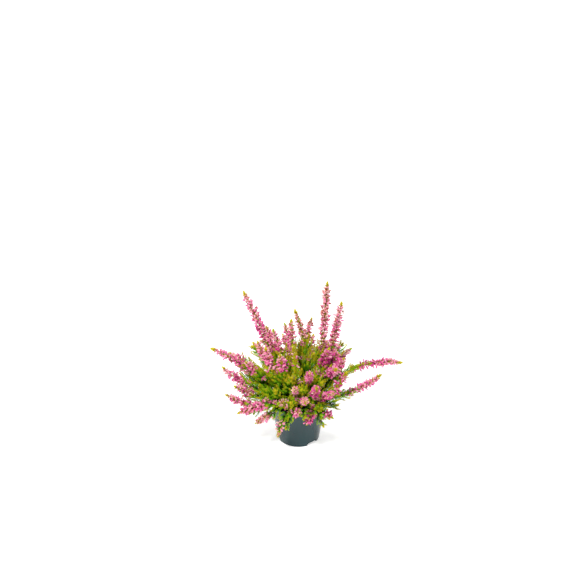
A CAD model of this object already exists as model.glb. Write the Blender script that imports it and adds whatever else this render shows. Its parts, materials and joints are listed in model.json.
import json
import math

import bmesh
import bpy
import numpy as np
from mathutils import Matrix, Vector

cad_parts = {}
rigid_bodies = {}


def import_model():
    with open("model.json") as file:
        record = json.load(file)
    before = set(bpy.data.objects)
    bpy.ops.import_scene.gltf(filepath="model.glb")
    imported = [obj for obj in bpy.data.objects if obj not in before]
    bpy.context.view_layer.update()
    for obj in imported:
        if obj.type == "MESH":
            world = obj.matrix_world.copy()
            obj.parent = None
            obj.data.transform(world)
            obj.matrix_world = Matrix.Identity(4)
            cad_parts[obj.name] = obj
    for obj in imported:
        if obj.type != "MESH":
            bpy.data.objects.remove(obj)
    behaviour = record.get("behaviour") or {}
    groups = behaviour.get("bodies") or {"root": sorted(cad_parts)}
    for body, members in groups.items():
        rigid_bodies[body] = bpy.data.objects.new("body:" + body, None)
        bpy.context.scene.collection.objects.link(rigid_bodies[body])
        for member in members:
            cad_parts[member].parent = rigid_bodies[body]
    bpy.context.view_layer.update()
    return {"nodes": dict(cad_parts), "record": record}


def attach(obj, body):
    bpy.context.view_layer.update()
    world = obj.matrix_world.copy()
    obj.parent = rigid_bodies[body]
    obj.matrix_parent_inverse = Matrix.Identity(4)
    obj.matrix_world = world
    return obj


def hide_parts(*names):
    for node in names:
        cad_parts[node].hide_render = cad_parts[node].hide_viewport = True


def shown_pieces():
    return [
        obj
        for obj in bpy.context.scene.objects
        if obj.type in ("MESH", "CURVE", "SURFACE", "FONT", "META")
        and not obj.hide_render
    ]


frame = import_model()
scene = bpy.context.scene
mm = 0.001
goldenAngle = math.pi * (3 - math.sqrt(5))
rng = np.random.default_rng(7)


# materials

mixSockets = {"share": 0, "first": 6, "second": 7, "result": 2}  # a Mix node's places for colours


def newMaterial(name):
    material = bpy.data.materials.new(name)
    material.use_nodes = True
    tree = material.node_tree
    return material, tree.nodes, tree.links, tree.nodes["Principled BSDF"]


def addRamp(nodes, links, value, stops):
    ramp = nodes.new("ShaderNodeValToRGB")
    elements = ramp.color_ramp.elements
    while len(elements) < len(stops):
        elements.new(0.5)
    for element, (place, colour) in zip(elements, stops):
        element.position = place
        element.color = (*colour, 1)
    links.new(value, ramp.inputs["Fac"])
    return ramp.outputs["Color"]


def addAttribute(nodes, name):
    attribute = nodes.new("ShaderNodeAttribute")
    attribute.attribute_name = name
    return attribute.outputs["Fac"]


def addNoise(nodes, links, scale, detail=2.0):
    place = nodes.new("ShaderNodeTexCoord")
    noise = nodes.new("ShaderNodeTexNoise")
    noise.inputs["Scale"].default_value = scale
    noise.inputs["Detail"].default_value = detail
    links.new(place.outputs["Object"], noise.inputs["Vector"])
    return noise.outputs["Fac"]


def addMath(nodes, links, operation, first, second, third=None):
    node = nodes.new("ShaderNodeMath")
    node.operation = operation
    for socket, value in zip(node.inputs, (first, second, third)):
        if isinstance(value, (int, float)):
            socket.default_value = value
        elif value is not None:
            links.new(value, socket)
    return node.outputs["Value"]


def addPatches(nodes, links, value, scale, amount):
    patch = addMath(nodes, links, "SUBTRACT", addNoise(nodes, links, scale), 0.5)
    return addMath(nodes, links, "MULTIPLY_ADD", patch, amount, value)


def addMix(nodes, links, share, first, second):
    mix = nodes.new("ShaderNodeMix")
    mix.data_type = "RGBA"
    for key, value in (("share", share), ("first", first), ("second", second)):
        socket = mix.inputs[mixSockets[key]]
        if isinstance(value, tuple):
            socket.default_value = (*value, 1)
        else:
            links.new(value, socket)
    return mix.outputs[mixSockets["result"]]


def addBump(nodes, links, shader, height, relief):
    bump = nodes.new("ShaderNodeBump")
    strength, depth = relief
    bump.inputs["Strength"].default_value = strength
    bump.inputs["Distance"].default_value = depth
    links.new(height, bump.inputs["Height"])
    links.new(bump.outputs["Normal"], shader.inputs["Normal"])


leafLook = {
    "stops": (  # from deep shade to young gold
        (0.0, (0.002, 0.014, 0.001)),
        (0.16, (0.012, 0.09, 0.001)),
        (0.32, (0.09, 0.44, 0.003)),
        (0.52, (0.33, 0.62, 0.005)),
        (0.76, (0.58, 0.48, 0.006)),
        (1.0, (0.52, 0.44, 0.01)),
    ),
    "tip": (0.66, 0.58, 0.03),
    "tipShare": 0.35,
    "patches": ((260, 0.42), (32, 0.65)),  # noise scale, how much it shifts the tone
    "roughness": 0.55,
    "gloss": 0.12,
}


def makeLeafMaterial():
    material, nodes, links, shader = newMaterial("heather leaf")
    tone = addAttribute(nodes, "tone")
    for scale, amount in leafLook["patches"]:
        tone = addPatches(nodes, links, tone, scale, amount)
    colour = addRamp(nodes, links, tone, leafLook["stops"])
    tipShare = addMath(nodes, links, "MULTIPLY", tone, leafLook["tipShare"])
    tipShare = addMath(nodes, links, "MULTIPLY", addAttribute(nodes, "along"), tipShare)
    links.new(addMix(nodes, links, tipShare, colour, leafLook["tip"]), shader.inputs["Base Color"])
    shader.inputs["Roughness"].default_value = leafLook["roughness"]
    shader.inputs["Specular IOR Level"].default_value = leafLook["gloss"]
    return material


budLook = {
    "stops": (  # brown-red, salmon, pink, magenta
        (0.0, (0.24, 0.06, 0.035)),
        (0.14, (0.56, 0.17, 0.12)),
        (0.3, (0.84, 0.5, 0.48)),
        (0.5, (0.82, 0.28, 0.43)),
        (0.74, (0.7, 0.08, 0.31)),
        (1.0, (0.3, 0.012, 0.1)),
    ),
    "mottle": (320, 0.3),
    "foot": (0.34, 0.2, 0.04),
    "footReach": 0.3,  # share of the bud's length
    "footFade": 3.0,
    "roughness": 0.5,
    "gloss": 0.2,
}


def makeBudMaterial():
    material, nodes, links, shader = newMaterial("heather bud")
    tone = addPatches(nodes, links, addAttribute(nodes, "tone"), *budLook["mottle"])
    colour = addRamp(nodes, links, tone, budLook["stops"])
    footShare = addMath(nodes, links, "SUBTRACT", budLook["footReach"], addAttribute(nodes, "along"))
    footShare = addMath(nodes, links, "MULTIPLY", footShare, budLook["footFade"])
    footShare = addMath(nodes, links, "MAXIMUM", footShare, 0.0)
    links.new(addMix(nodes, links, footShare, colour, budLook["foot"]), shader.inputs["Base Color"])
    shader.inputs["Roughness"].default_value = budLook["roughness"]
    shader.inputs["Specular IOR Level"].default_value = budLook["gloss"]
    return material


barkLook = {
    "dark": (0.05, 0.022, 0.007),
    "light": (0.24, 0.12, 0.035),
    "grain": (700, 4),  # noise scale and detail
    "relief": (0.5, 0.2 * mm),  # strength and depth
    "roughness": 0.75,
    "gloss": 0.15,
}


def makeBarkMaterial():
    material, nodes, links, shader = newMaterial("heather twig")
    grain = addNoise(nodes, links, *barkLook["grain"])
    colour = addMix(nodes, links, grain, barkLook["dark"], barkLook["light"])
    links.new(colour, shader.inputs["Base Color"])
    addBump(nodes, links, shader, grain, barkLook["relief"])
    shader.inputs["Roughness"].default_value = barkLook["roughness"]
    shader.inputs["Specular IOR Level"].default_value = barkLook["gloss"]
    return material


leafMaterial = makeLeafMaterial()
budMaterial = makeBudMaterial()
barkMaterial = makeBarkMaterial()
plantMaterials = [budMaterial, leafMaterial, barkMaterial]
budFace, leafFace, barkFace = 0, 1, 2  # places in that list
print("materials ready")


# small shapes that the plant repeats, each grown along +Z from the origin

def meshOf(bm, name):
    mesh = bpy.data.meshes.new(name)
    bm.to_mesh(mesh)
    bm.free()
    return mesh


def finishShape(bm, name, materialPlace):
    for face in bm.faces:
        face.material_index = materialPlace
        face.smooth = True
    mesh = meshOf(bm, name)
    mesh.attributes.new("tone", "FLOAT", "POINT")
    coords = np.zeros(3 * len(mesh.vertices), np.float32)
    mesh.vertices.foreach_get("co", coords)
    return {"mesh": mesh, "coords": coords.reshape(-1, 3)}


leafForm = {"widest": 0.38, "thickness": 0.6}  # shares of its length and of its width


def addLeaf(bm, place, length, width):
    above = (1 - leafForm["widest"]) * length
    verts = bmesh.ops.create_cone(
        bm, cap_ends=True, segments=3, radius1=width / 2, radius2=0, depth=above,
        matrix=Matrix.Translation((0, 0, length - above / 2)),
    )["verts"]
    faces = {face for vert in verts for face in vert.link_faces}
    cap = min(faces, key=lambda face: face.calc_center_median().z)
    heel = bmesh.ops.poke(bm, faces=[cap])["verts"][0]
    heel.co.z = 0
    verts = verts + [heel]
    alongLayer = bm.verts.layers.float["along"]
    for vert in verts:
        vert[alongLayer] = vert.co.z / length
    bmesh.ops.scale(bm, vec=(1, leafForm["thickness"], 1), verts=verts)
    bmesh.ops.transform(bm, matrix=place, verts=verts)


whorlForm = {
    "step": 3.0 * mm,  # length of twig that it covers
    "pairs": (0.1, 0.6),  # where its two pairs of leaves stand on that length
    "leafLength": 5.0 * mm,
    "leafWidth": 1.8 * mm,
    "lean": math.radians(42),
    "twigRadius": 0.35 * mm,
    "overlap": 1.1,
    "turnSpread": 0.3,
    "leanSpread": (0.75, 1.25),
    "lengthSpread": (0.85, 1.15),
}


def makeWhorl(name, draws):
    bm = bmesh.new()
    bm.verts.layers.float.new("along")
    step, radius = whorlForm["step"], whorlForm["twigRadius"]
    bmesh.ops.create_cone(
        bm, cap_ends=False, segments=3, radius1=radius, radius2=radius, depth=whorlForm["overlap"] * step,
        matrix=Matrix.Translation((0, 0, step / 2)),
    )
    for number in range(4):
        pair = number // 2
        turn = math.pi * number + math.pi / 2 * pair
        turn += draws.uniform(-whorlForm["turnSpread"], whorlForm["turnSpread"])
        place = (
            Matrix.Translation((0, 0, whorlForm["pairs"][pair] * step))
            @ Matrix.Rotation(turn, 4, "Z")
            @ Matrix.Rotation(whorlForm["lean"] * draws.uniform(*whorlForm["leanSpread"]), 4, "X")
        )
        length = whorlForm["leafLength"] * draws.uniform(*whorlForm["lengthSpread"])
        addLeaf(bm, place, length, whorlForm["leafWidth"])
    return finishShape(bm, name, leafFace)


# a tuft of leaves that closes towards its top: large on a spike, small on a twig
rosetteForm = {
    "leaves": 20, "height": 5.0 * mm, "spread": math.radians(74),
    "leafLength": 7.0 * mm, "leafWidth": 3.0 * mm,
}
twigTipForm = {
    "leaves": 7, "height": 2.2 * mm, "spread": math.radians(50),
    "leafLength": 3.6 * mm, "leafWidth": 1.3 * mm,
}
tuftForm = {"closing": 0.9, "leanSpread": (0.85, 1.15), "lengthSpread": (0.85, 1.1)}


def makeTuft(name, form, draws):
    bm = bmesh.new()
    bm.verts.layers.float.new("along")
    for number in range(form["leaves"]):
        share = number / (form["leaves"] - 1)
        lean = form["spread"] * (1 - tuftForm["closing"] * share) * draws.uniform(*tuftForm["leanSpread"])
        place = (
            Matrix.Translation((0, 0, form["height"] * share))
            @ Matrix.Rotation(number * goldenAngle, 4, "Z")
            @ Matrix.Rotation(lean, 4, "X")
        )
        length = form["leafLength"] * draws.uniform(*tuftForm["lengthSpread"])
        addLeaf(bm, place, length, form["leafWidth"])
    return finishShape(bm, name, leafFace)


budForm = {
    "sides": 8,
    "rings": ((0.28, 0.95), (0.7, 0.8)),  # height share, radius share
    "furrow": 0.8,  # between its four folded sepals
    "length": 6.2 * mm,
    "radius": 1.5 * mm,
    "plumpness": (0.95, 1.15),
    "stalks": (0.6 * mm, 2.2 * mm, 3.7 * mm),
    "stalkRadius": (0.25 * mm, 0.325 * mm),
    "stalkOverlap": 1.1,
}


def makeBud(stalk, plump):
    bm = bmesh.new()
    alongLayer = bm.verts.layers.float.new("along")
    sides = budForm["sides"]
    ball = bmesh.ops.create_uvsphere(bm, u_segments=sides, v_segments=3, radius=1)["verts"]
    rings = sorted({round(vert.co.z, 3) for vert in ball})
    shares = dict(zip(rings, [(0, 0), *budForm["rings"], (1, 0)]))
    for vert in ball:
        height, width = shares[round(vert.co.z, 3)]
        around = math.atan2(vert.co.y, vert.co.x)
        fold = budForm["furrow"] if round(around * sides / math.tau) % 2 else 1
        reach = budForm["radius"] * plump * width * fold
        vert.co = (reach * math.cos(around), reach * math.sin(around), budForm["length"] * height)
        vert[alongLayer] = height
    bmesh.ops.translate(bm, vec=(0, 0, stalk), verts=ball)
    low, high = budForm["stalkRadius"]
    bmesh.ops.create_cone(
        bm, cap_ends=False, segments=3, radius1=low, radius2=high, depth=budForm["stalkOverlap"] * stalk,
        matrix=Matrix.Translation((0, 0, stalk / 2)),
    )
    return finishShape(bm, "bud", budFace)


whorls = [makeWhorl(f"whorl{number}", rng) for number in range(4)]
rosettes = [makeTuft(f"rosette{number}", rosetteForm, rng) for number in range(3)]
twigTips = [makeTuft(f"twigTip{number}", twigTipForm, rng) for number in range(3)]
buds = [makeBud(stalk, plump) for stalk in budForm["stalks"] for plump in budForm["plumpness"]]
closeKinds = len(budForm["plumpness"])  # the first of them sit on the shortest stalks
print("repeated shapes ready")


# placing them

def unit(vector):
    return vector / max(float(np.linalg.norm(vector)), 1e-9)


def turnedTo(way, roll):
    slanted = (0.31, 0.17, 0.94) if abs(way[2]) < 0.9 else (0.94, 0.31, 0.17)  # never along way
    aside = unit(np.cross(way, slanted))
    other = np.cross(way, aside)
    first = math.cos(roll) * aside + math.sin(roll) * other
    return np.stack((first, np.cross(way, first), way), axis=1)


def pick(shapes, draws):
    return shapes[draws.integers(len(shapes))]


def inRange(tone):
    return float(np.clip(tone, 0, 1))


def stamp(bm, shape, turn, place, tone):
    mesh = shape["mesh"]
    coords = shape["coords"] @ turn.T + place
    mesh.vertices.foreach_set("co", coords.astype(np.float32).ravel())
    mesh.attributes["tone"].data.foreach_set("value", np.full(len(coords), tone, np.float32))
    bm.from_mesh(mesh)


def joinInto(bm, small):
    mesh = meshOf(small, "small")
    bm.from_mesh(mesh)
    bpy.data.meshes.remove(mesh)


def addTube(bm, points, radii, sides):
    ways = np.gradient(points, axis=0)
    before = Matrix(turnedTo(unit(ways[0]), 0)).to_4x4()
    before.translation = points[0]
    bmesh.ops.create_circle(bm, segments=sides, radius=radii[0], cap_ends=False, matrix=before)
    ring = list(bm.edges)
    side = np.array(before.to_3x3())[:, 0]
    for number in range(1, len(points)):
        way = unit(ways[number])
        side = unit(side - way * side.dot(way))
        after = Matrix(np.stack((side, np.cross(way, side), way), axis=1)).to_4x4()
        after.translation = points[number]
        grown = bmesh.ops.extrude_edge_only(bm, edges=ring)["geom"]
        verts = [item for item in grown if isinstance(item, bmesh.types.BMVert)]
        edges = [item for item in grown if isinstance(item, bmesh.types.BMEdge)]
        fresh = set(verts)
        ring = [edge for edge in edges if set(edge.verts) <= fresh]
        move = after @ Matrix.Scale(radii[number] / radii[number - 1], 4) @ before.inverted()
        bmesh.ops.transform(bm, matrix=move, verts=verts)
        before = after
    bmesh.ops.contextual_create(bm, geom=ring)
    for face in bm.faces:
        face.material_index = barkFace
        face.smooth = True
    bmesh.ops.recalc_face_normals(bm, faces=bm.faces)


def appendTube(bm, points, radii, sides):
    small = bmesh.new()
    addTube(small, points, np.linspace(*radii, len(points)), sides)
    joinInto(bm, small)


def readAlong(points, step):
    lengths = np.linalg.norm(np.diff(points, axis=0), axis=1)
    far = np.concatenate(([0], np.cumsum(lengths)))
    places = np.arange(0, far[-1], step)
    read = np.stack([np.interp(places, far, points[:, axis]) for axis in range(3)], axis=1)
    slopes = [np.gradient(points[:, axis], far) for axis in range(3)]
    ways = np.stack([np.interp(places, far, slope) for slope in slopes], axis=1)
    return read, ways / np.linalg.norm(ways, axis=1)[:, None], places, far[-1]


def addPiece(mesh, name, node, materials):
    for material in materials:
        mesh.materials.append(material)
    piece = bpy.data.objects.new(name, mesh)
    scene.collection.objects.link(piece)
    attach(piece, "root")
    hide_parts(node)


slotOf = {part["node"]: part["material_slot"] for part in frame["record"]["subparts"]}


# the pot, in millimetres

potForm = {
    "footRadius": 43.0, "neckRadius": 55.0, "collarFoot": 57.6, "lipRadius": 60.0,
    "height": 93.0, "collar": 9.0, "wall": 1.3, "floor": 2.0, "steps": 144,
    "rounding": 2.5, "innerRounding": 1.5, "lipRounding": 0.9, "lipDrop": 0.7,
    # small steps of its outline, each (outward, upward)
    "innerStep": ((0, -0.6), (0.5, 0.4)),
    "innerLedge": ((-0.4, 0), (0.1, 0.6)),
    "lipEdge": ((0, -2), (-0.3, -2.6)),
    "outerLedge": ((0.2, 0.6), (-0.3, 0)),
    "outerStep": ((0.5, -0.2), (0, -0.9)),
    "sharpFrom": math.radians(35),
}
notchForm = {
    "count": 3, "arc": math.radians(35), "height": 7.0, "depth": 10.0,
    "first": math.radians(-48), "corner": 5.5, "cornerSteps": 6,
}
potLook = {
    "dark": (0.004, 0.024, 0.029),
    "light": (0.01, 0.038, 0.043),
    "clouds": (28, 3),
    "polish": (90, 5),
    "roughness": (0.16, 0.16),  # at its smoothest, and what the polish adds
    "grain": (2200, 2),
    "relief": (0.15, 0.1 * mm),
    "gloss": 0.24,
}


def makePotMaterial():
    material, nodes, links, shader = newMaterial("pot plastic")
    clouds = addNoise(nodes, links, *potLook["clouds"])
    colour = addMix(nodes, links, clouds, potLook["dark"], potLook["light"])
    links.new(colour, shader.inputs["Base Color"])
    least, more = potLook["roughness"]
    polish = addNoise(nodes, links, *potLook["polish"])
    links.new(addMath(nodes, links, "MULTIPLY_ADD", polish, more, least), shader.inputs["Roughness"])
    addBump(nodes, links, shader, addNoise(nodes, links, *potLook["grain"]), potLook["relief"])
    shader.inputs["Specular IOR Level"].default_value = potLook["gloss"]
    return material


def wallRadius(height):
    free = potForm["height"] - potForm["collar"]
    return potForm["footRadius"] + (potForm["neckRadius"] - potForm["footRadius"]) * height / free


def arcPoints(centre, radius, start, end, count):
    return [
        (centre[0] + radius * math.cos(angle), centre[1] + radius * math.sin(angle))
        for angle in np.linspace(math.radians(start), math.radians(end), count)
    ]


def stepsFrom(radius, height, steps):
    return [(radius + out, height + up) for out, up in steps]


def potProfile():
    wall, floor, height = potForm["wall"], potForm["floor"], potForm["height"]
    foot, neck, lip = potForm["footRadius"], potForm["neckRadius"], potForm["lipRadius"]
    collar, collarFoot = height - potForm["collar"], potForm["collarFoot"]
    rounding, innerRounding = potForm["rounding"], potForm["innerRounding"]
    lipRounding = potForm["lipRounding"]
    innerFoot = wallRadius(floor) - wall - innerRounding
    return [
        (0, floor),
        (innerFoot, floor),
        *arcPoints((innerFoot, floor + innerRounding), innerRounding, -90, 0, 5)[1:],
        *stepsFrom(neck - wall, collar, potForm["innerStep"]),
        *stepsFrom(collarFoot - wall, collar + wall, potForm["innerLedge"]),
        (lip - 2 * wall, height - potForm["lipDrop"]),
        *arcPoints((lip - wall, height - lipRounding), lipRounding, 150, 20, 7),
        *stepsFrom(lip, height, potForm["lipEdge"]),
        *stepsFrom(collarFoot, collar, potForm["outerLedge"]),
        *stepsFrom(neck, collar, potForm["outerStep"]),
        *arcPoints((foot - rounding, rounding), rounding, 0, -90, 6),
        (0, 0),
    ]


def spunMesh(profile, steps, name):
    bm = bmesh.new()
    verts = [bm.verts.new((radius * mm, 0, height * mm)) for radius, height in profile]
    edges = [bm.edges.new(pair) for pair in zip(verts, verts[1:])]
    bmesh.ops.spin(
        bm, geom=verts + edges, axis=(0, 0, 1), cent=(0, 0, 0), angle=math.tau, steps=steps, use_merge=True,
    )
    bmesh.ops.remove_doubles(bm, verts=bm.verts, dist=1e-6)
    bmesh.ops.recalc_face_normals(bm, faces=bm.faces)
    return meshOf(bm, name)


def makeNotchCutters():
    collection = bpy.data.collections.new("notches")
    scene.collection.children.link(collection)
    depth = 2 * notchForm["depth"] * mm
    width = 2 * potForm["footRadius"] * math.sin(notchForm["arc"] / 2) * mm
    near = (potForm["footRadius"] - notchForm["depth"]) * mm
    for number in range(notchForm["count"]):
        bm = bmesh.new()
        size = Matrix.Diagonal((width, depth, 2 * notchForm["height"] * mm, 1))
        bmesh.ops.create_cube(bm, size=1, matrix=size)
        long = [edge for edge in bm.edges if abs(edge.verts[0].co.y - edge.verts[1].co.y) > depth / 2]
        bmesh.ops.bevel(
            bm, geom=long, offset=notchForm["corner"] * mm, segments=notchForm["cornerSteps"],
            profile=0.5, affect="EDGES",
        )
        bmesh.ops.translate(bm, vec=(0, near + depth / 2, 0), verts=bm.verts)
        angle = notchForm["first"] + number * math.tau / notchForm["count"]
        bmesh.ops.rotate(bm, matrix=Matrix.Rotation(angle - math.pi / 2, 3, "Z"), verts=bm.verts)
        bmesh.ops.recalc_face_normals(bm, faces=bm.faces)
        collection.objects.link(bpy.data.objects.new("notch", meshOf(bm, "notch")))
    return collection


def cutNotches(mesh, cutters):
    blank = bpy.data.objects.new("blank", mesh)
    scene.collection.objects.link(blank)
    cut = blank.modifiers.new("notches", "BOOLEAN")
    cut.operation = "DIFFERENCE"
    cut.operand_type = "COLLECTION"
    cut.collection = cutters
    done = bpy.data.meshes.new_from_object(blank.evaluated_get(bpy.context.evaluated_depsgraph_get()))
    bpy.data.objects.remove(blank)
    return done


def makePot(cutters):
    mesh = cutNotches(spunMesh(potProfile(), potForm["steps"], "nurseryPot"), cutters)
    mesh.shade_smooth()
    mesh.set_sharp_from_angle(angle=potForm["sharpFrom"])
    mesh.materials.clear()
    addPiece(mesh, "nurseryPot", "pot", [makePotMaterial()])
    print("pot ready")


# its soil, in millimetres

soilForm = {
    "top": 84.0, "crown": 3.0, "bottom": 2.3, "shoulder": 8.0, "inset": 1.7, "footInset": 2.7,
    "rings": 26, "steps": 96,
    "uneven": (-1.3, 0.9), "unevenFrom": 3.0, "evenRim": 0.5,
    "crumbs": 420, "crumbRim": 2.0, "crumbSize": (0.5, 1.5), "crumbSpread": (0.75, 1.2),
}
soilLook = {
    "stops": ((0.3, (0.008, 0.004, 0.002)), (0.55, (0.03, 0.016, 0.008)), (0.8, (0.09, 0.055, 0.03))),
    "grain": (420, 6),
    "relief": (0.8, 1.0 * mm),
    "roughness": 0.95,
}


def makeSoilMaterial():
    material, nodes, links, shader = newMaterial("peat")
    grain = addNoise(nodes, links, *soilLook["grain"])
    links.new(addRamp(nodes, links, grain, soilLook["stops"]), shader.inputs["Base Color"])
    addBump(nodes, links, shader, grain, soilLook["relief"])
    shader.inputs["Roughness"].default_value = soilLook["roughness"]
    return material


def addCrumb(bm, edge, draws):
    far = (edge - soilForm["crumbRim"]) * math.sqrt(draws.uniform())
    around = draws.uniform(0, math.tau)
    size = draws.uniform(*soilForm["crumbSize"]) * mm
    height = soilForm["top"] + soilForm["crown"] * (1 - (far / edge) ** 2)
    crumb = bmesh.new()
    bmesh.ops.create_icosphere(crumb, subdivisions=1, radius=size)
    for vert in crumb.verts:
        vert.co *= draws.uniform(*soilForm["crumbSpread"])
    place = Vector((far * math.cos(around), far * math.sin(around), height)) * mm
    bmesh.ops.translate(crumb, vec=place, verts=crumb.verts)
    joinInto(bm, crumb)


def makeSoil(cutters, draws):
    bottom, top, inset = soilForm["bottom"], soilForm["top"], soilForm["inset"]
    edge = wallRadius(top - 1) - inset
    surface = [
        (edge * share, top + soilForm["crown"] * (1 - share**2) - share**4)
        for share in np.linspace(0, 1, soilForm["rings"])
    ]
    shoulder = bottom + soilForm["shoulder"]
    profile = [
        *surface,
        (wallRadius(shoulder) - inset, shoulder),
        (wallRadius(bottom) - soilForm["footInset"], bottom),
        (0, bottom),
    ]
    bm = bmesh.new()
    bm.from_mesh(cutNotches(spunMesh(profile, soilForm["steps"], "peat"), cutters))
    for vert in bm.verts:
        onTop = vert.co.z > (top - soilForm["unevenFrom"]) * mm
        if onTop and vert.co.xy.length < (edge - soilForm["evenRim"]) * mm:
            vert.co.z += draws.uniform(*soilForm["uneven"]) * mm
    for _ in range(soilForm["crumbs"]):
        addCrumb(bm, edge, draws)
    for face in bm.faces:
        face.smooth = True
    addPiece(meshOf(bm, "peatSoil"), "peatSoil", "soil", [makeSoilMaterial()])
    print("soil ready")


# the flower spikes

spikeForm = {
    "readStep": 0.2 * mm,
    "tipLength": 10.0 * mm,  # the leafy rosette that ends it
    # thickness by the distance from its tip
    "outline": ((0, 0.6), (5 * mm, 0.78), (12 * mm, 0.98), (24 * mm, 1.05), (70 * mm, 1.12)),
    "fullest": 1.14,
    "stemStep": 6 * mm, "stemSides": 5, "stemRadius": (0.65 * mm, 0.4 * mm), "stemEnd": 4 * mm,
    "rosetteSize": ((45 * mm, 0.68), (75 * mm, 1.12)),  # by the spike's length
    "rosetteTone": ((45 * mm, 0.68), (75 * mm, 0.9)),
    "rosetteSizeSpread": (0.9, 1.05), "rosetteToneSpread": (-0.08, 0.08),
}
budRow = {
    "step": 0.44 * mm,  # length of axis for each bud
    "turnSpread": (-0.4, 0.4),
    "lean": (-12, 48), "tipLean": 20,  # degrees towards the tip
    "size": (0.76, 1.08),
    "blush": ((0, 0.06), (0.45, 0.04), (0.75, -0.06), (1, -0.14)),  # from the spike's foot to its tip
    "blushSpread": 0.16, "spikeSpread": 0.05, "paler": 0.22,
    "inner": 0.1, "innerSpread": 0.08, "innerShare": 0.4,  # buds close to the stem are brown-red
}
leafRow = {
    "start": 1.5 * mm, "step": 3.4 * mm, "size": (1.0, 1.35),
    "tone": 0.66, "tipTone": 0.2, "toneSpread": 0.1,
}
strayLeaves = {
    "foot": (0.55, 0.25),  # their share at the spike's foot, and how far up they end
    "lean": (0.5, 1.5), "off": 1.5 * mm, "toneSpread": 0.12,
}
leafTones = {"low": 0.3, "from": 0.1, "over": 0.07, "high": 0.28, "outer": 0.2}  # heights in metres

# spikes that point at the viewer, with buds right up to the tip
closedTips = {
    "spike_centre_front_1", "spike_centre_front_5", "spike_centre_front_6",
    "spike_front_1", "spike_front_right_1",
}

# how thick the spikes are, by stem or by spike
fullnessOf = {
    "back_left": 1.15, "back_right": 1.12, "centre_front": 1.08, "front": 1.1, "front_right": 1.15,
    "left": 1.08, "low_left": 1.15, "middle": 1.08, "right": 1.08,
    "spike_centre_front_1": 0.95, "spike_centre_front_2": 1.15, "spike_centre_front_3": 1.3,
    "spike_centre_front_4": 1.35, "spike_centre_front_6": 0.8,
    "spike_front_1": 0.85, "spike_front_2": 1.3,
    "spike_front_left_1": 1.25, "spike_front_left_2": 1.25,
    "spike_front_right_1": 1.05, "spike_front_right_3": 1.35, "spike_front_right_4": 1.35,
    "spike_left_3": 1.2, "spike_low_left_3": 1.25, "spike_right_3": 1.3,
}

# share of leaves among the buds, on the spikes that have hardly begun to flower
leafyOf = {
    "spike_back_middle_1": 0.2, "spike_middle_1": 0.3, "spike_low_left_1": 0.2,
    "spike_centre_front_1": 0.15, "spike_centre_front_5": 0.2, "spike_centre_front_6": 0.22,
    "spike_front_1": 0.25, "spike_front_3": 0.6,
    "spike_front_left_1": 0.1, "spike_front_left_3": 0.8, "spike_front_left_4": 0.35,
    "spike_front_right_1": 0.15, "spike_front_right_2": 0.3,
}

# as strayLeaves["foot"], where it differs
leafyFootOf = {"right": (0.95, 0.55), "spike_right_3": (0.2, 0.2), "spike_centre_front_4": (0, 0.2)}

# how deep the pink is
blushOf = {
    "back": 0.5, "back_left": 0.5, "back_low_left": 0.5, "back_middle": 0.5, "back_right": 0.48,
    "middle": 0.52, "left": 0.52, "low_left": 0.58, "right": 0.56, "spike_right_3": 0.7,
    "front": 0.6, "front_left": 0.56, "front_right": 0.72, "centre_front": 0.68,
}

axisFit = {"heart": (0, 0, 0.1), "limits": (None, 4.5 * mm, 3.6 * mm), "points": 40}


def stemOf(node):
    return node.split("_", 1)[1].rsplit("_", 1)[0]


def spikeAxis(node):
    coords = np.array([vert.co for vert in frame["nodes"][node].data.vertices], float)
    heart = np.array(axisFit["heart"])
    middle = coords.mean(0)
    way = np.linalg.svd(coords - middle, full_matrices=False)[2][0]
    far = (coords - middle) @ way
    first, last = middle + way * far.min(), middle + way * far.max()
    if np.linalg.norm(first - heart) > np.linalg.norm(last - heart):
        way, far = -way, -far
    near = np.ones(len(coords), bool)
    for limit in axisFit["limits"]:  # closer in each time, past the buds to the core
        if limit:
            line = np.stack([np.polyval(fit, far) for fit in fits], axis=1)
            near = np.linalg.norm(coords - line, axis=1) < limit
        fits = [np.polyfit(far[near], coords[near, axis], 2) for axis in range(3)]
    spots = np.linspace(far.min(), far.max(), axisFit["points"])
    return np.stack([np.polyval(fit, spots) for fit in fits], axis=1)


def leafTone(point, share):
    height = np.clip((point[2] - leafTones["from"]) / leafTones["over"], 0, 1)
    return leafTones["low"] + leafTones["high"] * height + leafTones["outer"] * share


def addStrayLeaves(bm, point, way, out, share, size, draws):
    heading = unit(out + draws.uniform(*strayLeaves["lean"]) * way)
    turn = turnedTo(heading, draws.uniform(0, math.tau)) * size
    tone = leafTone(point, share) + draws.normal(0, strayLeaves["toneSpread"])
    stamp(bm, pick(whorls, draws), turn, point + strayLeaves["off"] * out, inRange(tone))


def addBud(bm, point, way, out, share, size, blush, draws):
    kind = draws.integers(len(buds))
    lean = math.radians(draws.uniform(*budRow["lean"]) + budRow["tipLean"] * share**3)
    budWay = math.cos(lean) * out + math.sin(lean) * way
    turn = turnedTo(budWay, draws.uniform(0, math.tau)) * size * draws.uniform(*budRow["size"])
    tone = blush + draws.normal(0, budRow["blushSpread"])
    if kind < closeKinds and draws.uniform() < budRow["innerShare"]:
        tone = budRow["inner"] + draws.normal(0, budRow["innerSpread"])
    stamp(bm, buds[kind], turn, point, inRange(tone))


def addRosette(bm, point, way, length, draws):
    size = np.interp(length, *zip(*spikeForm["rosetteSize"]))
    size *= draws.uniform(*spikeForm["rosetteSizeSpread"])
    tone = np.interp(length, *zip(*spikeForm["rosetteTone"]))
    tone += draws.uniform(*spikeForm["rosetteToneSpread"])
    turn = turnedTo(way, draws.uniform(0, math.tau)) * size
    stamp(bm, pick(rosettes, draws), turn, point, float(tone))


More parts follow.
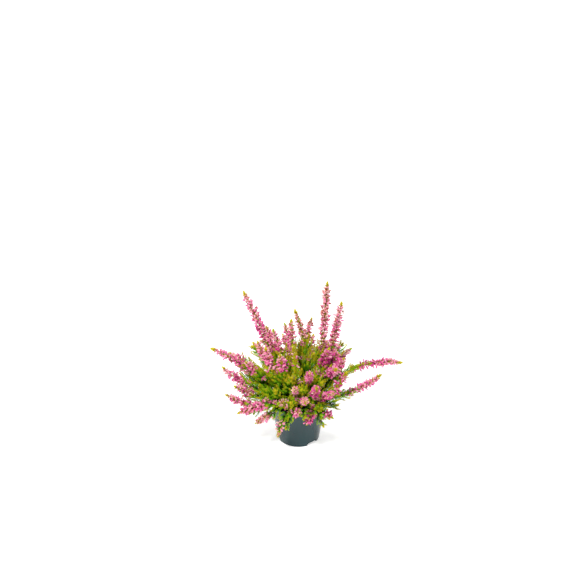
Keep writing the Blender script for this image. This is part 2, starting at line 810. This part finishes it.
def makeSpike(node, draws):
    axis = spikeAxis(node)
    stem = stemOf(node)
    closed = node in closedTips
    read, ways, _, length = readAlong(axis, spikeForm["readStep"])
    flowering = length - (0 if closed else spikeForm["tipLength"])
    thick = spikeForm["fullest"] * fullnessOf.get(node, fullnessOf.get(stem, 1))
    leafyFoot, leafyUpTo = leafyFootOf.get(node, leafyFootOf.get(stem, strayLeaves["foot"]))
    bm = bmesh.new()
    top = axis[-1] - spikeForm["stemEnd"] * ways[-1]
    core = np.vstack((readAlong(axis, spikeForm["stemStep"])[0], top))
    appendTube(bm, core, spikeForm["stemRadius"], spikeForm["stemSides"])
    blush = blushOf.get(node, blushOf[stem]) + draws.normal(0, budRow["spikeSpread"])
    if slotOf[node] == "heather_pale_buds":
        blush -= budRow["paler"]

    def at(far):
        index = min(int(far / spikeForm["readStep"]), len(read) - 1)
        return read[index], ways[index]

    count = int(flowering / budRow["step"])
    for number in range(count):
        share = (number + draws.uniform()) / count
        point, way = at(share * flowering)
        out = turnedTo(way, number * goldenAngle + draws.uniform(*budRow["turnSpread"]))[:, 0]
        size = np.interp((1 - share) * flowering, *zip(*spikeForm["outline"]))
        if draws.uniform() < leafyOf.get(node, 0) + leafyFoot * max(0, 1 - share / leafyUpTo):
            addStrayLeaves(bm, point, way, out, share, size, draws)
        else:
            paling = 0 if closed else np.interp(share, *zip(*budRow["blush"]))
            addBud(bm, point, way, out, share, size * thick, blush + paling, draws)
    for place in np.arange(leafRow["start"], flowering, leafRow["step"]):
        point, way = at(place)
        turn = turnedTo(way, draws.uniform(0, math.tau)) * draws.uniform(*leafRow["size"])
        tone = leafRow["tone"] + leafRow["tipTone"] * place / flowering
        tone += draws.normal(0, leafRow["toneSpread"])
        stamp(bm, pick(whorls, draws), turn, point, float(tone))
    if not closed:
        addRosette(bm, *at(flowering), length, draws)
    name = node.replace("spike", "flowerSpike")
    addPiece(meshOf(bm, name), name, node, plantMaterials)


# the leafy stems

stemForm = {
    "freeFrom": 93.0 * mm,  # where bends and forks begin
    "forked": 0.45,  # share of the height above that which has forks
    "startPull": 0.9, "endPull": 0.8, "flatten": 0.3,
    "overRim": 114.0 * mm, "lift": 2.2, "layDown": 0.6,  # limbs with a low end rise over the rim first
    "mainSides": 7, "mainRadius": (2.0 * mm, 0.8 * mm), "mainLeafy": 0.3,
    "limbSides": 6, "limbRadius": (1.3 * mm, 0.8 * mm), "limbLeafy": 0.14,
    "endSize": 0.8, "endTone": 0.75,
}
twigForm = {
    "step": 2.2 * mm,  # length of stem for each twig
    "length": 22.5 * mm, "lengthSpread": (0.7, 1.1), "turnSpread": (-0.3, 0.3),
    "besidePot": ((90 * mm, 108 * mm), (0.25, 1)),  # shorter where it hangs beside the pot
    "shortFrom": 0.8, "short": (1.3, 0.9),
    "lean": 0.9, "leanSpread": (0.6, 1.4), "follow": 0.1, "rise": 0.05, "waver": 0.04,
    "size": 1.08, "taper": 0.35, "rollSpread": (-0.3, 0.3),
    "toneSpread": 0.1, "footTone": -0.38, "gilding": 0.6, "tipTone": 0.2,
}
flowerTwigForm = {
    "chance": ((0.55, 0.8, 1), (0, 0.55, 0.9)),  # by the place along the stem
    "length": 0.6, "step": 1.5 * mm, "leanSpread": (0.5, 1.0), "follow": 0.06, "waver": 0.05,
    "budLean": (0.4, 1.2), "budSize": (0.72, 0.92), "blush": (0.6, 0.16), "leafTone": (0.5, 0.8),
}
potRoom = {"inner": 52.0 * mm, "outer": 62.5 * mm, "soil": 89.0 * mm, "bare": 90.0 * mm, "lip": 96.0 * mm}

# how far a stem's twigs reach, and how many of them flower
reachOf = {"back_middle": 1.15, "back_right": 1.25, "front_right": 1.1, "left": 1.15, "low_left": 1.3}
flowersOf = {
    "back_middle": 0.4, "back_right": 0.75, "centre_front": 0.4, "front": 0.2, "front_left": 0.25,
    "front_right": 0.3, "left": 0.5, "low_left": 0.2, "middle": 0.55, "right": 0.3,
}

# tips of the leafy shoots without flowers, in millimetres
shootTips = {
    "back_right": [(62, 40, 160), (88, 66, 178), (38, 42, 184)],
    "back_middle": [(2, 52, 186), (30, 24, 180)],
    "back_left": [(-50, 44, 178), (-92, 46, 184)],
    "middle": [(-46, -14, 176), (-31, 8, 198)],
    "left": [(-96, 8, 142), (-124, -4, 146)],
    "low_left": [(-96, -54, 96), (-80, -28, 126), (-62, -46, 130)],
    "front_left": [(-14, -60, 178), (-44, -62, 150)],
    "front": [(-14, -84, 138), (-24, -86, 82), (12, -94, 112)],
    "front_right": [(48, -84, 86), (44, -82, 126), (74, -60, 116)],
    "right": [(92, -2, 150), (78, -40, 128)],
    "centre_front": [(6, -84, 168), (44, -60, 168)],
    "back": [(6, 104, 150), (56, 86, 136)],
    "back_low_left": [(-66, 92, 124), (-96, 60, 130)],
}


def bend(start, startPull, end, endPull):
    t = np.linspace(0, 1, 30)[:, None]
    return (
        (2 * t**3 - 3 * t**2 + 1) * start + (t**3 - 2 * t**2 + t) * startPull
        + (3 * t**2 - 2 * t**3) * end + (t**3 - t**2) * endPull
    )


def mainRoute(stem, end, endWay):
    coords = np.array([vert.co for vert in frame["nodes"]["leafy_stem_" + stem].data.vertices], float)
    foot = coords[coords[:, 2] < coords[:, 2].min() + mm].mean(0)
    top = np.array((foot[0], foot[1], stemForm["freeFrom"]))
    length = np.linalg.norm(end - top)
    rise = np.array((0, 0, stemForm["startPull"] * length))
    run = bend(top, rise, end, stemForm["endPull"] * length * endWay)
    return np.vstack((np.linspace(foot, top, 8)[:-1], run))


def sideRoute(main, end, endWay, height):
    index = int(np.argmax(main[:, 2] > height))
    root = main[index]
    along = unit(main[index + 1] - main[index - 1])
    length = np.linalg.norm(end - root)
    outward = unit((end - root) * (1, 1, stemForm["flatten"]))
    lift = np.array((0, 0, stemForm["lift"] * max(stemForm["overRim"] - end[2], 0)))
    pull = stemForm["startPull"] * length * unit(along + outward) + lift
    if endWay is None:
        return bend(root, pull, end, stemForm["endPull"] * (end - root) - stemForm["layDown"] * lift)
    return bend(root, pull, end, stemForm["endPull"] * length * endWay)


def offThePot(point):
    far = math.hypot(point[0], point[1])
    inSoil = far < potRoom["outer"] and point[2] < potRoom["soil"]
    inWall = potRoom["inner"] < far < potRoom["outer"] and point[2] < potRoom["lip"]
    return not inSoil and not inWall


def addTwig(bm, root, out, way, length, tone, draws):
    step = whorlForm["step"]
    steps = max(2, round(length / step))
    place = root
    heading = unit(out + twigForm["lean"] * draws.uniform(*twigForm["leanSpread"]) * way)
    roll = draws.uniform(0, math.tau)
    rise = np.array((0, 0, twigForm["rise"]))
    for number in range(steps):
        heading = unit(heading + twigForm["follow"] * way + rise + draws.normal(0, twigForm["waver"], 3))
        if not offThePot(place + heading * step):
            return
        size = twigForm["size"] - twigForm["taper"] * number / steps
        gold = tone + twigForm["footTone"] + twigForm["gilding"] * number / steps
        stamp(bm, pick(whorls, draws), turnedTo(heading, roll) * size, place, inRange(gold))
        place = place + heading * step * size
        roll += draws.uniform(*twigForm["rollSpread"])
    stamp(bm, pick(twigTips, draws), turnedTo(heading, roll), place, inRange(tone + twigForm["tipTone"]))


def addFlowerTwig(bm, root, out, way, length, draws):
    form = flowerTwigForm
    heading = unit(out + twigForm["lean"] * draws.uniform(*form["leanSpread"]) * way)
    place = root
    for number in range(max(2, round(length / form["step"]))):
        place = place + heading * form["step"]
        heading = unit(heading + form["follow"] * way + draws.normal(0, form["waver"], 3))
        if not offThePot(place + heading * 2 * form["step"]):
            return
        for _ in range(2):
            around = turnedTo(heading, draws.uniform(0, math.tau))[:, 0]
            budWay = unit(around + draws.uniform(*form["budLean"]) * heading)
            turn = turnedTo(budWay, draws.uniform(0, math.tau)) * draws.uniform(*form["budSize"])
            bud = pick(buds[:2 * closeKinds], draws)
            stamp(bm, bud, turn, place, inRange(draws.normal(*form["blush"])))
        if number % 2 == 0:
            turn = turnedTo(heading, draws.uniform(0, math.tau))
            stamp(bm, pick(whorls, draws), turn, place, float(draws.uniform(*form["leafTone"])))


def clothe(bm, route, leafyFrom, flowering, stem, draws):
    read, ways, places, length = readAlong(route, twigForm["step"])
    for number, (point, way, place) in enumerate(zip(read, ways, places)):
        share = place / length
        inPot = point[2] < potRoom["bare"] and math.hypot(point[0], point[1]) < potRoom["outer"]
        if share < leafyFrom or inPot:
            continue
        out = turnedTo(way, number * goldenAngle + draws.uniform(*twigForm["turnSpread"]))[:, 0]
        reach = twigForm["length"] * reachOf.get(stem, 1) * draws.uniform(*twigForm["lengthSpread"])
        reach *= np.interp(point[2], *twigForm["besidePot"])
        if not flowering and share > twigForm["shortFrom"]:
            full, loss = twigForm["short"]
            reach *= full - share * loss
        chance = flowersOf.get(stem, 1) * np.interp(share, *flowerTwigForm["chance"])
        if flowering and draws.uniform() < chance:
            addFlowerTwig(bm, point, out, way, flowerTwigForm["length"] * reach, draws)
        else:
            tone = leafTone(point, share) + draws.normal(0, twigForm["toneSpread"])
            addTwig(bm, point, out, way, reach, tone, draws)


def makeStem(stem, draws):
    spikes = sorted(node for node in frame["nodes"] if node.startswith("spike_") and stemOf(node) == stem)
    axes = [spikeAxis(node) for node in spikes]
    spikeFeet = [axis[0] for axis in axes]
    spikeWays = [unit(axis[2] - axis[0]) for axis in axes]
    main = mainRoute(stem, spikeFeet[0], spikeWays[0])
    ends = spikeFeet[1:] + [np.array(tip) * mm for tip in shootTips[stem]]
    endWays = spikeWays[1:] + [None] * len(shootTips[stem])
    order = np.argsort(np.argsort([end[2] for end in ends]))
    free = stemForm["freeFrom"]
    heights = free + stemForm["forked"] * (main[-1, 2] - free) * (order + 0.5) / len(ends)
    bm = bmesh.new()
    appendTube(bm, main, stemForm["mainRadius"], stemForm["mainSides"])
    clothe(bm, main, stemForm["mainLeafy"], True, stem, draws)
    for end, endWay, height in zip(ends, endWays, heights):
        route = sideRoute(main, end, endWay, height)
        appendTube(bm, route, stemForm["limbRadius"], stemForm["limbSides"])
        clothe(bm, route, stemForm["limbLeafy"], endWay is not None, stem, draws)
        if endWay is None:
            turn = turnedTo(unit(route[-1] - route[-3]), 0) * stemForm["endSize"]
            stamp(bm, rosettes[0], turn, route[-1], stemForm["endTone"])
    name = "leafyStem_" + stem
    addPiece(meshOf(bm, name), name, "leafy_stem_" + stem, plantMaterials)


notchCutters = makeNotchCutters()
makePot(notchCutters)
makeSoil(notchCutters, rng)
for cutter in list(notchCutters.objects):
    bpy.data.objects.remove(cutter)
bpy.data.collections.remove(notchCutters)
for node in sorted(frame["nodes"]):
    if node.startswith("spike_"):
        makeSpike(node, rng)
print("flower spikes ready")
for stem in shootTips:
    makeStem(stem, rng)
print("leafy stems ready")
counts = [sum(len(face.vertices) - 2 for face in piece.data.polygons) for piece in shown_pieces()]
print("triangles", sum(counts), "largest", max(counts))


# floor, light and camera

floorForm = {"size": 6, "drop": 0.2 * mm, "grey": 0.93, "roughness": 0.8, "glow": 0.5}
aim = (0, 0, 0.15)
lamps = {
    "key": {"place": (-1.0, -2.4, 4.0), "target": aim, "size": 1.0, "power": 220},
    "fill": {"place": (2.6, -1.6, 2.6), "target": aim, "size": 2.0, "power": 30},
    "back": {"place": (0.6, 2.4, 3.2), "target": aim, "size": 1.8, "power": 50},
    "edge": {"place": (-1.4, 1.0, 0.5), "target": (0, 0, 0.06), "size": 0.35, "power": 16},
}
worldLight = 0.22
cameraForm = {
    "place": (-0.0134, -3.3945, 2.381),
    "tilt": math.radians(90 - 30.95),
    "pixels": 2000 / 584,  # focal length over the picture's width
    "sensor": 36,
    "far": 30,
}


def makeFloor():
    bm = bmesh.new()
    bmesh.ops.create_grid(bm, x_segments=2, y_segments=2, size=floorForm["size"])
    mesh = meshOf(bm, "floor")
    material, _, _, shader = newMaterial("floor")
    shader.inputs["Base Color"].default_value = (floorForm["grey"],) * 3 + (1,)
    shader.inputs["Roughness"].default_value = floorForm["roughness"]
    shader.inputs["Emission Color"].default_value = (1, 1, 1, 1)
    shader.inputs["Emission Strength"].default_value = floorForm["glow"]
    mesh.materials.append(material)
    floor = bpy.data.objects.new("floor", mesh)
    floor.location.z = -floorForm["drop"]
    scene.collection.objects.link(floor)


def addLamp(name, place, target, size, power):
    lamp = bpy.data.lights.new(name, "AREA")
    lamp.shape = "DISK"
    lamp.size = size
    lamp.energy = power
    holder = bpy.data.objects.new(name, lamp)
    holder.location = place
    holder.rotation_euler = (Vector(target) - Vector(place)).to_track_quat("-Z", "Y").to_euler()
    scene.collection.objects.link(holder)


def addWorld():
    world = bpy.data.worlds.new("studio")
    world.use_nodes = True
    background = world.node_tree.nodes["Background"]
    background.inputs["Color"].default_value = (1, 1, 1, 1)
    background.inputs["Strength"].default_value = worldLight
    scene.world = world


def addCamera():
    camera = bpy.data.cameras.new("camera")
    camera.sensor_width = cameraForm["sensor"]
    camera.lens = cameraForm["pixels"] * cameraForm["sensor"]
    camera.clip_end = cameraForm["far"]
    holder = bpy.data.objects.new("camera", camera)
    holder.location = cameraForm["place"]
    holder.rotation_euler = (cameraForm["tilt"], 0, 0)
    scene.collection.objects.link(holder)
    scene.camera = holder


makeFloor()
for name, lamp in lamps.items():
    addLamp(name, **lamp)
addWorld()
scene.view_settings.view_transform = "Standard"
addCamera()
print("stage ready")
